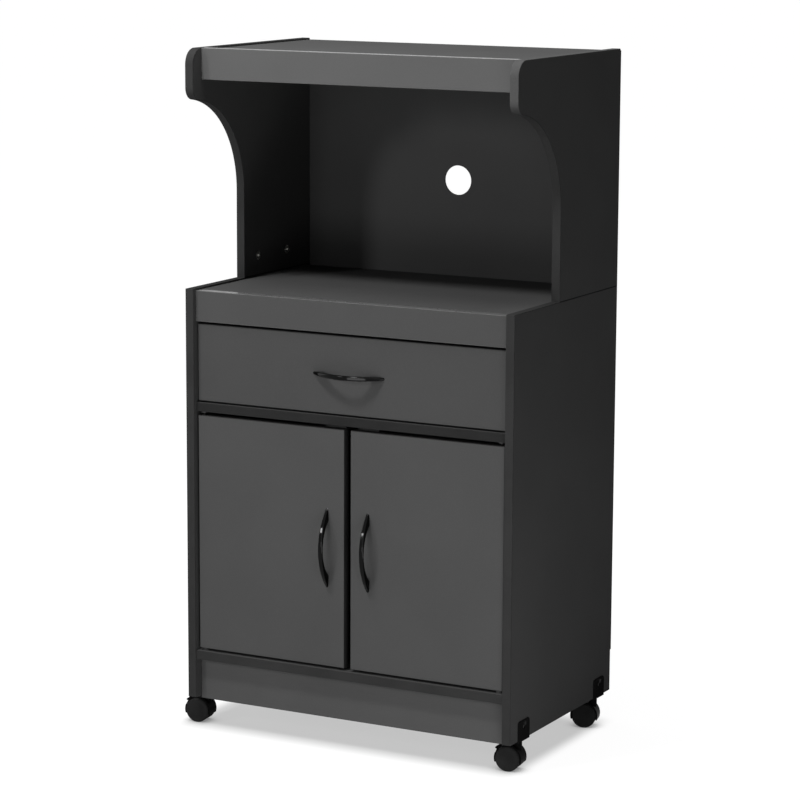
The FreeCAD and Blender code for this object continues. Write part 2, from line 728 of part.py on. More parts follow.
def drawer_places():
    """Planes that the drawer box and its runners share."""
    side_low = DIVIDER_TOP + s.drawer_box_lift
    outer = INNER - s.runner_space
    return SimpleNamespace(
        low=side_low,
        high=DRAWER_HIGH - s.drawer_box_headroom,
        outer=outer,
        inner=outer - s.drawer_board,
        back=BACK - s.drawer_box_back_gap,
        floor=side_low + s.groove_level,
    )


def drawer_box():
    d = drawer_places()
    end = INNER - s.drawer_side_gap
    tongue = s.groove_depth - 0.5
    groove_low = d.floor - s.groove_play / 2
    groove_high = d.floor + s.drawer_bottom_thickness + s.groove_play / 2
    front = block((-end, DRAWER_FACE, DRAWER_LOW), (end, DRAWER_BACK, DRAWER_HIGH))
    front = rounded(front, s.arris, in_planes(("y", DRAWER_FACE)))
    front_groove = block(
        (-d.inner - s.groove_depth, DRAWER_BACK - s.groove_depth, groove_low),
        (d.inner + s.groove_depth, DRAWER_BACK + OVERCUT, groove_high),
    )
    subpart("drawer_front", cut(front, front_groove, *HOLES.get("drawer_front", [])))
    sides = (("drawer_left_side", -d.inner, -d.outer), ("drawer_right_side", d.inner, d.outer))
    for label, near, far in sides:
        outward = 1 if far.value > near.value else -1
        low_x, high_x = (near, far) if outward > 0 else (far, near)
        side = block((low_x, DRAWER_BACK, d.low), (high_x, d.back, d.high))
        groove_x = sorted((near - OVERCUT * outward, near + s.groove_depth * outward), key=float)
        groove = block(
            (groove_x[0], DRAWER_BACK - OVERCUT, groove_low), (groove_x[1], d.back + OVERCUT, groove_high)
        )
        subpart(label, cut(side, groove, *HOLES.get(label, [])))
    back_low = groove_high
    back = block((-d.inner, d.back - s.drawer_board, back_low), (d.inner, d.back, d.high))
    subpart("drawer_back", cut(back, *HOLES.get("drawer_back", [])))
    bottom = block(
        (-d.inner - tongue, DRAWER_BACK - tongue, d.floor),
        (d.inner + tongue, d.back, d.floor + s.drawer_bottom_thickness),
    )
    subpart("drawer_bottom", bottom)


def drawer_screws():
    """Screws through the drawer sides into its back, and cams that draw the front on to the sides."""
    d = drawer_places()
    middle = d.back - s.drawer_board / 2
    rise = (d.high - d.low) / 4
    for side, x, out in (("drawer_left_side", -d.outer, "-x"), ("drawer_right_side", d.outer, "+x")):
        inward = 1 if out == "-x" else -1
        for z in (d.high - rise, d.high - rise * 2.2):
            screw_down(CORNER_SCREW, "drawer_fasteners", (x, middle, z), out, side, "drawer_back")
        for z in (d.high - rise, d.high - rise * 2.2):
            at = (x + s.drawer_board / 2 * inward, DRAWER_BACK, z)
            turn = joint_turn("+y", "+x" if inward > 0 else "-x")
            add_hole("drawer_front", copy_of(CAM.pilot, at, turn))
            add_hole(side, copy_of(CAM_THIN.housing, at, turn))
            add_fitting("drawer_fasteners", copy_of(CAM_THIN.cam, at, turn))
            add_fitting("drawer_fasteners", copy_of(CAM_THIN.bolt, at, turn))


def thin_cam_set():
    """The same fastener for the drawer's thinner boards."""
    face = s.drawer_board / 2
    radius = s.cam_radius - 1.5
    depth = s.drawer_board - 2.5
    setback = s.cam_setback - 9
    head = 4
    housing = fuse(
        rod(radius, depth + 0.5 + OVERCUT, (setback, 0, face + OVERCUT), "-z"),
        rod(s.bolt_radius + 0.5, setback + OVERCUT, (-OVERCUT, 0, 0), "+x"),
    )
    cam = cut(
        rod(radius - s.slip, depth, (setback, 0, face), "-z"),
        rod(s.bolt_radius, radius + 4, (setback - radius - OVERCUT, 0, 0), "+x"),
    )
    bolt = fuse(
        rod(s.bolt_thread_radius, s.bolt_thread_length, (0, 0, 0), "-x"),
        rod(s.bolt_radius - 0.5, setback - head, (0, 0, 0), "+x"),
        rod(s.bolt_radius - 0.2, head, (setback - head, 0, 0), "+x"),
    )
    return SimpleNamespace(housing=housing, cam=cam, bolt=bolt)


def runner_places():
    d = drawer_places()
    low = d.low - s.runner_drop
    web = INNER - s.runner_steel
    member = d.outer + s.runner_steel
    middle = (web + member) / 2
    front = DRAWER_BACK + s.runner_start
    return SimpleNamespace(
        low=low,
        web=web,
        member=member,
        front=front,
        back=d.back,
        roller_low_x=middle - s.roller_width / 2,
        roller_high_x=middle + s.roller_width / 2,
        fixed_roller=(front + s.roller_setback, low + s.runner_steel + s.roller_radius + 0.7),
        moving_roller=(
            d.back - s.roller_setback,
            low + s.runner_steel + s.roller_radius + s.seat_gap / 2,
        ),
    )


def mirrored_x(label, low, high):
    """Corners of a box given for the right side, on the side that the label names."""
    if label.startswith("left"):
        return (-high[0], low[1], low[2]), (-low[0], high[1], high[2])
    return low, high


def runners():
    """Roller runners: a channel on each side panel, and an angle with an outward lip on the drawer."""
    d, r = drawer_places(), runner_places()
    steel = s.runner_steel
    fixed_y, fixed_z = r.fixed_roller
    moving_y, moving_z = r.moving_roller
    play = 0.2
    lip_low = fixed_z + s.roller_radius + play
    moving_end = r.roller_high_x + play
    tips = r.web - s.runner_flange
    for side in ("left", "right"):
        sign = -1 if side == "left" else 1
        inward, outward = ("+x", "-x") if side == "left" else ("-x", "+x")
        channel = fuse(
            block(*mirrored_x(side, (r.web, r.front, r.low), (INNER, r.back, r.low + s.runner_height))),
            block(*mirrored_x(side, (tips, r.front, r.low), (INNER, r.back, r.low + steel))),
            block(*mirrored_x(
                side,
                (tips, r.front, r.low + s.runner_height - steel),
                (INNER, r.back, r.low + s.runner_height),
            )),
            rod(s.axle_radius, r.web - r.roller_low_x + play, (r.web * sign, fixed_y, fixed_z), inward),
            rod(s.axle_head_radius, s.axle_head, ((r.roller_low_x - play) * sign, fixed_y, fixed_z), inward),
        )
        angle = fuse(
            block(*mirrored_x(side, (d.outer, r.front, d.low - steel), (r.member, r.back, lip_low + steel))),
            block(*mirrored_x(side, (d.inner, r.front, d.low - steel), (r.member, r.back, d.low))),
            block(*mirrored_x(
                side,
                (d.outer, r.front, lip_low),
                (r.member + s.runner_flange - 0.5, r.back, lip_low + steel),
            )),
            rod(s.axle_radius, moving_end - r.member, (r.member * sign, moving_y, moving_z), outward),
            rod(s.axle_head_radius, s.axle_head, (moving_end * sign, moving_y, moving_z), outward),
        )
        panel, drawer_side = f"{side}_side_panel", f"drawer_{side}_side"
        fixed_label, moving_label = f"{side}_cabinet_runner", f"{side}_drawer_runner"
        for y in (r.front + s.runner_flange * 5, r.back - s.runner_flange * 5):
            fixed_at = (r.web * sign, y, r.low + s.runner_height / 2)
            screw_down(RUNNER_SCREW, "cabinet_fasteners", fixed_at, inward, fixed_label, panel)
            moving_at = (r.member * sign, y, d.low + s.runner_height / 4)
            screw_down(RUNNER_SCREW, "drawer_fasteners", moving_at, outward, moving_label, drawer_side)
        subpart(fixed_label, cut(channel, *HOLES[fixed_label]))
        subpart(moving_label, cut(angle, *HOLES[moving_label]))
    for label, (y, z) in (("cabinet_rollers", r.fixed_roller), ("drawer_rollers", r.moving_roller)):
        pair = []
        for start in (-r.roller_high_x, r.roller_low_x):
            wheel = rod(s.roller_radius, s.roller_width, (start, y, z), "+x")
            bore = rod(s.axle_radius + s.slip, s.roller_width + 2 * OVERCUT, (start - OVERCUT, y, z), "+x")
            pair.append(cut(wheel, bore))
        subpart(label, group(pair))


# --- doors -----------------------------------------------------------------------------------------


def door(side):
    sign = -1 if side == "left" else 1
    outer = INNER - s.door_side_gap
    inner = s.door_meeting_gap / 2
    low, high = mirrored_x(side, (inner, FACE, DOOR_LOW), (outer, FACE_BACK, DOOR_HIGH))
    slab = rounded(block(low, high), s.arris, in_planes(("y", FACE)))
    pivot_x = (outer - s.pivot_inset) * sign
    pivot_y = FACE + s.board / 2
    bite = s.pivot_bite
    label = f"{side}_door"
    lower_end = BOTTOM_TOP - s.pivot_reach
    upper_end = DIVIDER_LOW + s.pivot_reach
    add_hole(label, rod(s.pivot_radius, bite + OVERCUT, (pivot_x, pivot_y, DOOR_LOW - OVERCUT)))
    add_hole(label, rod(s.pivot_radius, bite + OVERCUT, (pivot_x, pivot_y, DOOR_HIGH + OVERCUT), "-z"))
    pins = [
        rod(s.pivot_radius, DOOR_LOW + bite - lower_end, (pivot_x, pivot_y, lower_end)),
        rod(s.pivot_radius, upper_end - DOOR_HIGH + bite, (pivot_x, pivot_y, upper_end), "-z"),
    ]
    subpart(f"{side}_door_pins", group(pins))
    pivot_bush("bottom_board", (pivot_x, pivot_y, BOTTOM_TOP), "-z", "+z", s.door_bottom_gap - s.seat_gap)
    pivot_bush("drawer_divider", (pivot_x, pivot_y, DIVIDER_LOW), "+z", "-z", s.bush_flange)

    strike_z = DIVIDER_LOW - s.catch_drop
    strike_low, strike_high = mirrored_x(
        side,
        (s.catch_inset - s.strike_length / 2, FACE_BACK, strike_z),
        (s.catch_inset + s.strike_length / 2, FACE_BACK + s.strike_thickness, strike_z + s.strike_height),
    )
    strike_at = (s.catch_inset * sign, FACE_BACK + s.strike_thickness, strike_z + s.strike_height / 2)
    screw_down(WOOD_SCREW, f"{side}_door_screws", strike_at, "+y", f"{side}_door_strike", label)
    strike = cut(block(strike_low, strike_high), *HOLES[f"{side}_door_strike"])
    subpart(f"{side}_door_strike", strike)

    handle_x = (inner + s.door_handle_inset) * sign
    handle_z = (DOOR_LOW + DOOR_HIGH) / 2
    for z in (handle_z - s.handle_hole_spacing / 2, handle_z + s.handle_hole_spacing / 2):
        screw_down(HANDLE_SCREW, f"{side}_door_screws", (handle_x, FACE_BACK, z), "+y", label)
    subpart(label, cut(slab, *HOLES[label]))
    bow_handle(f"{side}_door_handle", (handle_x, FACE, handle_z), upright=True)


def pivot_bush(board, at, into, out, flange):
    """Flanged bush in a board, open to the pin."""
    x, y, z = at
    depth = s.pivot_reach + s.bush_flange
    step = OVERCUT if out == "+z" else -OVERCUT
    add_hole(board, rod(s.bush_radius, depth + 0.3 + OVERCUT, (x, y, z + step), into))
    sleeve = rod(s.bush_radius - s.slip, depth, at, into)
    collar = rod(s.bush_flange_radius, flange, at, out)
    far = z + flange + OVERCUT if out == "+z" else z - flange - OVERCUT
    bore = rod(s.pivot_radius + s.slip, flange + OVERCUT + s.pivot_reach + 0.2, (x, y, far), into)
    add_fitting("door_pivot_bushes", cut(fuse(sleeve, collar), bore))


def catches():
    """Magnetic catches under the divider, one behind each door's meeting edge."""
    front = FACE_BACK + s.strike_thickness + s.seat_gap
    rim = 4
    for sign in (-1, 1):
        x = s.catch_inset * sign
        y = front + s.catch_depth / 2
        low = DIVIDER_LOW - s.catch_drop
        housing = block(
            (x - s.catch_length / 2, front, low), (x + s.catch_length / 2, front + s.catch_depth, DIVIDER_LOW)
        )
        well = rod(s.screw_head_radius + 0.4, s.catch_drop - rim + OVERCUT, (x, y, low - OVERCUT))
        at = (x, y, DIVIDER_LOW - rim)
        screw_down(WOOD_SCREW, "cabinet_fasteners", at, "-z", "drawer_divider")
        socket = copy_of(WOOD_SCREW.bore, at, facing("-z"))
        add_fitting("door_catches", cut(rounded(housing, 1, in_planes(("z", low))), well, socket))


# --- handles ---------------------------------------------------------------------------------------


def crown_radius(chord, rise):
    """Radius of the arc over a chord that rises so far."""
    return (chord * chord / 4 + rise * rise) / (rise * 2)


def bow_handle(label, at, upright):
    """Crescent bow: an arc in profile, drawn in to narrow tips when seen from the front."""
    half = s.handle_length / 2
    foot = s.handle_foot_span / 2
    outer = crown_radius(s.handle_length, s.handle_projection)
    inner = crown_radius(s.handle_foot_span, s.handle_projection - s.handle_thickness)
    profile = new_body("bow_profile")
    corners = [(half, 0), (-half, 0), (-foot, 0), (foot, 0)]
    bends = {0: (outer, 1), 2: (inner, -1)}
    padded(profile, outline(profile, "XY_Plane", corners, bends), s.handle_width)
    put(profile, (0, 0, -s.handle_width / 2))
    plan = new_body("bow_plan")
    tip = s.handle_tip_width / 2
    side = crown_radius(s.handle_length, (s.handle_width - s.handle_tip_width) / 2)
    corners = [(half, tip), (-half, tip), (-half, -tip), (half, -tip)]
    bends = {0: (side, 1), 2: (side, 1)}
    padded(plan, outline(plan, "XZ_Plane", corners, bends), s.handle_projection + OVERCUT, reverse=True)
    bow = common(profile, plan)
    doc.recompute([profile, plan, bow], True, True)
    bow = rounded(bow, s.handle_rounding, bow_edges(float(s.handle_thickness)))
    middle = s.handle_hole_spacing / 2
    bore_radius = s.handle_screw_radius + s.slip
    bore_depth = s.handle_screw_bite + 0.5 + OVERCUT
    bores = [rod(bore_radius, bore_depth, (x, -OVERCUT, 0), "+y") for x in (-middle, middle)]
    bow = cut(bow, *bores)
    turn = Rotation(Vector(0, 0, 1), 180)
    if upright:
        turn = Rotation(Vector(0, 0, 1), Vector(0, -1, 0), Vector(1, 0, 0), "XYZ")
    subpart(label, put(group([bow]), at, turn))


def bow_edges(least_rise):
    """Picks the bow's long curved edges, away from the face that it is screwed to."""

    def chosen(edge):
        return edge.BoundBox.YMax > least_rise and edge.BoundBox.XLength > 1

    return chosen


# --- casters ---------------------------------------------------------------------------------------


def caster_bracket():
    """Angle under the side panel's foot, and the stem riveted in it. The panel's outer face is X = 0."""
    steel = s.bracket_steel
    half = s.bracket_width / 2
    flange_end = -(s.board - 0.5)
    upright = block((0, -half, -steel), (steel, half, s.bracket_height))
    upright.recompute(True)

    def top_corner(edge):
        box = edge.BoundBox
        return abs(box.ZMin - float(s.bracket_height)) < 0.01 and box.YLength < 0.01

    upright = rounded(upright, s.bracket_corner, top_corner)
    flange = block((flange_end, -half, -steel), (steel, half, 0))
    screw_z, wide_z = s.keyhole_level, s.keyhole_level - s.keyhole_drop
    keyhole = fuse(
        rod(s.keyhole_radius, steel + 2 * OVERCUT, (-OVERCUT, 0, wide_z), "+x"),
        rod(s.keyhole_slot, steel + 2 * OVERCUT, (-OVERCUT, 0, screw_z), "+x"),
        block((-OVERCUT, -s.keyhole_slot, wide_z), (steel + OVERCUT, s.keyhole_slot, screw_z)),
    )
    sockets = [
        copy_of(WOOD_SCREW.bore, (-s.stem_inset, y, -steel), facing("-z"))
        for y in (-s.flange_screw_offset, s.flange_screw_offset)
    ]
    angle = cut(fuse(upright, flange), keyhole, *sockets)
    stem_hole = rod(s.stem_radius - 0.5, steel + 2 * OVERCUT, (-s.stem_inset, 0, -steel - OVERCUT))
    stem = fuse(
        rod(s.stem_radius, s.boss_top - steel + s.stem_bite, (-s.stem_inset, 0, -steel), "-z"),
        rod(s.stem_radius - 0.5, steel, (-s.stem_inset, 0, -steel), "+z"),
    )
    return SimpleNamespace(angle=cut(angle, stem_hole), stem=stem)


def cosine(angle):
    return Size(f"cos({angle.text} * 1 deg)", math.cos(math.radians(angle.value)))


def sine(angle):
    return Size(f"sin({angle.text} * 1 deg)", math.sin(math.radians(angle.value)))


def round_hood(radius, angle):
    """Point seen along the axle: its distance from the axle, and the angle from the stem's side upwards."""
    return radius * cosine(angle) - s.trail, radius * sine(angle) + s.wheel_radius


def sector(start, end, low_radius, high_radius, width):
    """Block between two angles and two radii round the wheels' axle, across the wheels."""
    body = new_body("sector")
    low_radius, high_radius = size(low_radius), size(high_radius)
    corners = [
        round_hood(low_radius, start),
        round_hood(high_radius, start),
        round_hood(high_radius, end),
        round_hood(low_radius, end),
    ]
    bends = {1: (high_radius, 1), 3: (low_radius, -1)}
    padded(body, outline(body, "XZ_Plane", corners, bends), width)
    return put(body, (0, size(width) / 2, 0))


def drum(radius, width):
    """Cylinder round the wheels' axle."""
    return rod(radius, width, (-s.trail, -size(width) / 2, s.wheel_radius), "+y")


def hood_radii():
    inside = s.wheel_radius + s.hood_gap
    return inside, inside + s.hood_wall


def lever_pivot():
    """Pivot of the brake lever, just outside the arch."""
    return round_hood(hood_radii()[1] + s.lever_pin_radius, s.lever_pivot_angle)


def caster_hood(braked):
    """Hood in the caster's own frame: stem axis at X = Y = 0, floor at Z = 0, wheels behind at X = -trail."""
    inside, outside = hood_radii()
    boss_high = FOOT - s.boss_top
    reach = s.wheel_radius * 2
    below = block((-s.trail - reach, -reach, -reach), (reach, reach, s.wheel_radius - s.hood_skirt))
    boss = rod(s.boss_radius, boss_high - s.wheel_radius, (0, 0, s.wheel_radius))
    arch = cut(fuse(drum(outside, s.hood_width), boss), drum(inside, reach))
    web = drum(inside + s.hood_wall / 2, s.hood_web)
    shell = cut(fuse(arch, web), below)
    bores = [
        rod(s.stem_radius + s.slip, s.stem_bite + s.slip + OVERCUT, (0, 0, boss_high + OVERCUT), "-z"),
        drum(s.axle_radius + s.slip, reach),
    ]
    if not braked:
        return cut(fuse(shell, drum(s.hood_skirt + 1, s.hood_web)), *bores)
    floor = s.wheel_radius - s.seat_gap * 2
    above = outside + 2 * OVERCUT
    slot_start = s.lever_pivot_angle - (s.brake_start - s.lever_pivot_angle)
    window = sector(s.brake_start - 1, s.brake_end + 1, floor, above, reach)
    slot = sector(slot_start - 1, s.brake_start, floor, above, s.lever_width + s.seat_gap * 2)
    pivot_x, pivot_z = lever_pivot()
    ears = [
        rod(s.lever_pin_radius * 2, 2, (pivot_x, y, pivot_z), "+y")
        for y in (-s.lever_width / 2 - s.seat_gap - 2, s.lever_width / 2 + s.seat_gap)
    ]
    bores.append(rod(s.lever_pin_radius + s.slip, reach, (pivot_x, -s.wheel_radius, pivot_z), "+y"))
    body = fuse(cut(shell, window, slot), drum(s.hood_skirt + 1, s.hood_web), *ears)
    return cut(body, *bores)


def brake_lever():
    """Pedal pivoted on the hood, with a shoe that lies over both wheels."""
    outside = hood_radii()[1]
    pivot_x, pivot_z = lever_pivot()
    shoe_in = s.wheel_radius + s.hood_gap * 0.6
    shoe = sector(s.brake_start, s.brake_end, shoe_in, outside - s.seat_gap, s.hood_width - 2)
    arm = sector(s.lever_pivot_angle, s.brake_end, outside - 1, outside + s.lever_steel - 1, s.lever_width)
    knuckle = rod(s.lever_pin_radius * 2, s.lever_width, (pivot_x, -s.lever_width / 2, pivot_z), "+y")
    pin_length = s.lever_width + s.seat_gap * 2 + 4
    pin = rod(s.lever_pin_radius, pin_length, (pivot_x, -pin_length / 2, pivot_z), "+y")
    root_x, root_z = round_hood(outside, s.pedal_angle)
    pedal = block((-s.lever_reach, -s.lever_width / 2, 0), (2, s.lever_width / 2, s.lever_steel))
    pedal = rounded(pedal, s.lever_steel * 0.4, in_planes(("x", -s.lever_reach)))
    slope = Rotation(Vector(0, 1, 0), 180 - float(s.pedal_angle))
    return fuse(shoe, arm, knuckle, pin, put(group([pedal]), (root_x, 0, root_z), slope))


def caster_wheel():
    """Wheel with a closed outer face, hollow towards the hood. Z runs out along the axle."""
    body = new_body("wheel")
    width, radius = s.wheel_width, s.wheel_radius
    hollow = width - s.wheel_face
    rim = radius - s.wheel_rim
    edge = s.wheel_bevel / 2
    corners = [
        (s.axle_radius, 0),
        (s.wheel_hub_radius, 0),
        (s.wheel_hub_radius, hollow),
        (rim, hollow),
        (rim, 0),
        (radius - edge, 0),
        (radius, edge),
        (radius, width - s.wheel_bevel),
        (radius - s.wheel_bevel, width),
        (0, width),
        (0, s.axle_bite),
        (s.axle_radius, s.axle_bite),
    ]
    revolved(body, outline(body, "XZ_Plane", corners))
    return body


def casters():
    bracket, wheel = caster_bracket(), caster_wheel()
    hoods = {"front": caster_hood(braked=True), "rear": caster_hood(braked=False)}
    lever = brake_lever()
    axle_length = s.wheel_track + s.axle_bite * 2
    axle = drum(s.axle_radius, axle_length)
    wheels = group([
        copy_of(wheel, (-s.trail, -s.wheel_track / 2, s.wheel_radius), facing("-y")),
        copy_of(wheel, (-s.trail, s.wheel_track / 2, s.wheel_radius), facing("+y")),
    ])
    for end, y in (("front", FRONT + s.stem_end_inset), ("rear", BACK - s.stem_end_inset)):
        for side, sign in (("left", -1), ("right", 1)):
            name = f"{end}_{side}"
            at = ((HALF - s.stem_inset) * sign, y, 0)
            angle = getattr(s, f"{name}_turn")
            pieces = {"caster_hood": hoods[end], "caster_wheels": wheels, "caster_axle": axle}
            if end == "front":
                pieces["brake_lever"] = lever
            for piece, master in pieces.items():
                turned = put(group([copy_of(master, (0, 0, 0))]), at, Rotation(Vector(0, 0, 1), angle.value))
                turned.setExpression("Placement.Rotation.Angle", f"{angle.text} * 1 deg")
                subpart(f"{name}_{piece}", turned)
            mount_bracket(bracket, side, sign, y)


def mount_bracket(bracket, side, sign, y):
    """Bracket on the foot of a side panel, with its screws."""
    turn = Rotation() if sign > 0 else Rotation(Vector(0, 0, 1), 180)
    at = (HALF * sign, y, FOOT)
    panel = f"{side}_side_panel"
    outward = "+x" if sign > 0 else "-x"
    add_fitting("caster_brackets", copy_of(bracket.angle, at, turn))
    add_fitting("caster_brackets", copy_of(bracket.stem, at, turn))
    face = (HALF + s.bracket_steel) * sign
    screw_down(BRACKET_SCREW, "cabinet_fasteners", (face, y, FOOT + s.keyhole_level), outward, panel)
    for offset in (-s.flange_screw_offset, s.flange_screw_offset):
        at = ((HALF - s.stem_inset) * sign, y + offset, FOOT - s.bracket_steel)
        screw_down(WOOD_SCREW, "cabinet_fasteners", at, "-z", panel)


# --- the whole cart --------------------------------------------------------------------------------

CAM = cam_lock_set()
CAM_THIN = thin_cam_set()
DOWEL = dowel_set()
WOOD_SCREW = countersunk_screw()
RUNNER_SCREW = headed_screw(s.screw_head_radius, s.thin_head_depth, s.screw_radius, s.runner_screw_length)
CORNER_SCREW = headed_screw(s.screw_head_radius, s.thin_head_depth, s.screw_radius, s.drawer_board * 3)
BRACKET_SCREW = headed_screw(
    s.pan_head_radius, s.pan_head_depth, s.screw_radius + 0.3, s.screw_length, domed=True
)
HANDLE_SCREW = headed_screw(
    s.pan_head_radius, s.pan_head_depth, s.handle_screw_radius, s.board + s.handle_screw_bite, domed=True
)


def build():
    extents = {**lower_boards(), **hutch_boards()}
    back_screws()
    shelf_and_pins()
    drawer_screws()
    runners()
    drawer_middle = (DRAWER_LOW + DRAWER_HIGH) / 2
    for x in (-s.handle_hole_spacing / 2, s.handle_hole_spacing / 2):
        screw_down(HANDLE_SCREW, "drawer_fasteners", (x, DRAWER_BACK, drawer_middle), "+y", "drawer_front")
    drawer_box()
    bow_handle("drawer_handle", (0, DRAWER_FACE, drawer_middle), upright=False)
    door("left")
    door("right")
    catches()
    casters()
    cable_hole = rod(
        s.cable_hole_radius,
        s.back_board + 2 * OVERCUT,
        (s.cable_hole_offset, BACK - OVERCUT, WORKTOP + s.cable_hole_height),
        "+y",
    )
    add_hole("hutch_back_panel", cable_hole)
    for label, (low, high, planes) in extents.items():
        solid = block(low, high)
        if planes:
            solid = rounded(solid, s.arris, in_planes(*planes))
        subpart(label, cut(solid, *HOLES[label]))
    for label, x in (("hutch_left_panel", -HALF), ("hutch_right_panel", INNER)):
        subpart(label, cut(hutch_panel(x), *HOLES[label]))
    for label, shapes in FITTINGS.items():
        subpart(label, group(shapes))
    doc.recompute()


def check():
    """Stops before anything is written if an object failed or a sub-part isn't sound."""
    failed = [o.Name for o in doc.Objects if "Invalid" in o.State or "Error" in o.State]
    if failed:
        raise RuntimeError(f"objects that failed: {failed}")
    for part in SUBPARTS:
        if part.Shape.isNull() or not part.Shape.isValid() or not part.Shape.Solids:
            raise RuntimeError(f"{part.Label} has no sound shape")


build()
check()
os.makedirs("parts", exist_ok=True)
for part in SUBPARTS:
    part.Shape.exportStep(f"parts/{part.Label}.step")
    box = part.Shape.BoundBox
    print(f"{part.Label:26s} {len(part.Shape.Solids):3d} solids, {part.Shape.Volume:12.1f} mm3, {box}")
print(len(SUBPARTS), "sub-parts")
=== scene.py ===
import json
import math

import bpy
from mathutils import Matrix, Vector


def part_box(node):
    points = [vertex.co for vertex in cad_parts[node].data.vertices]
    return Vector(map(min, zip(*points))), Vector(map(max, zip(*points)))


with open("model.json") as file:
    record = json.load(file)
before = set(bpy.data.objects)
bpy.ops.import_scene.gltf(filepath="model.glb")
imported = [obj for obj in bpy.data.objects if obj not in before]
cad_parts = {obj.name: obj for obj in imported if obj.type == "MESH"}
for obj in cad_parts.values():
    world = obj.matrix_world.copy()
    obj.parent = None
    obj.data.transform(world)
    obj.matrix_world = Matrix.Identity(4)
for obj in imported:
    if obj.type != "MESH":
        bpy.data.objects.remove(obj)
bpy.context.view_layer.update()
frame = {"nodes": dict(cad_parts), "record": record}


# --- camera ----------------------------------------------------------------------------------------

CAMERA_PLACE = (2.29868, -4.30358, 1.41874)
CAMERA_AZIMUTH = 0.4910819
CAMERA_ELEVATION = 0.1753203
CAMERA_ROLL = 0.0047989
SENSOR_WIDTH = 36
FOCAL_LENGTH = 134.5476
NEAR_END, FAR_END = 0.1, 100


def make_camera():
    """A long lens from the front right, a little above the worktop. The angles are in radians."""
    back = Vector((
        math.sin(CAMERA_AZIMUTH) * math.cos(CAMERA_ELEVATION),
        -math.cos(CAMERA_AZIMUTH) * math.cos(CAMERA_ELEVATION),
        math.sin(CAMERA_ELEVATION),
    ))
    level = Vector((math.cos(CAMERA_AZIMUTH), math.sin(CAMERA_AZIMUTH), 0))
    upright = back.cross(level)
    right = level * math.cos(CAMERA_ROLL) + upright * math.sin(CAMERA_ROLL)
    up = upright * math.cos(CAMERA_ROLL) - level * math.sin(CAMERA_ROLL)
    data = bpy.data.cameras.new("camera")
    data.sensor_width = SENSOR_WIDTH
    data.lens = FOCAL_LENGTH
    data.clip_start = NEAR_END
    data.clip_end = FAR_END
    camera = bpy.data.objects.new("camera", data)
    bpy.context.scene.collection.objects.link(camera)
    turn = Matrix((right, up, back)).transposed().to_4x4()
    camera.matrix_world = Matrix.Translation(CAMERA_PLACE) @ turn
    bpy.context.scene.camera = camera


make_camera()


# --- materials -------------------------------------------------------------------------------------


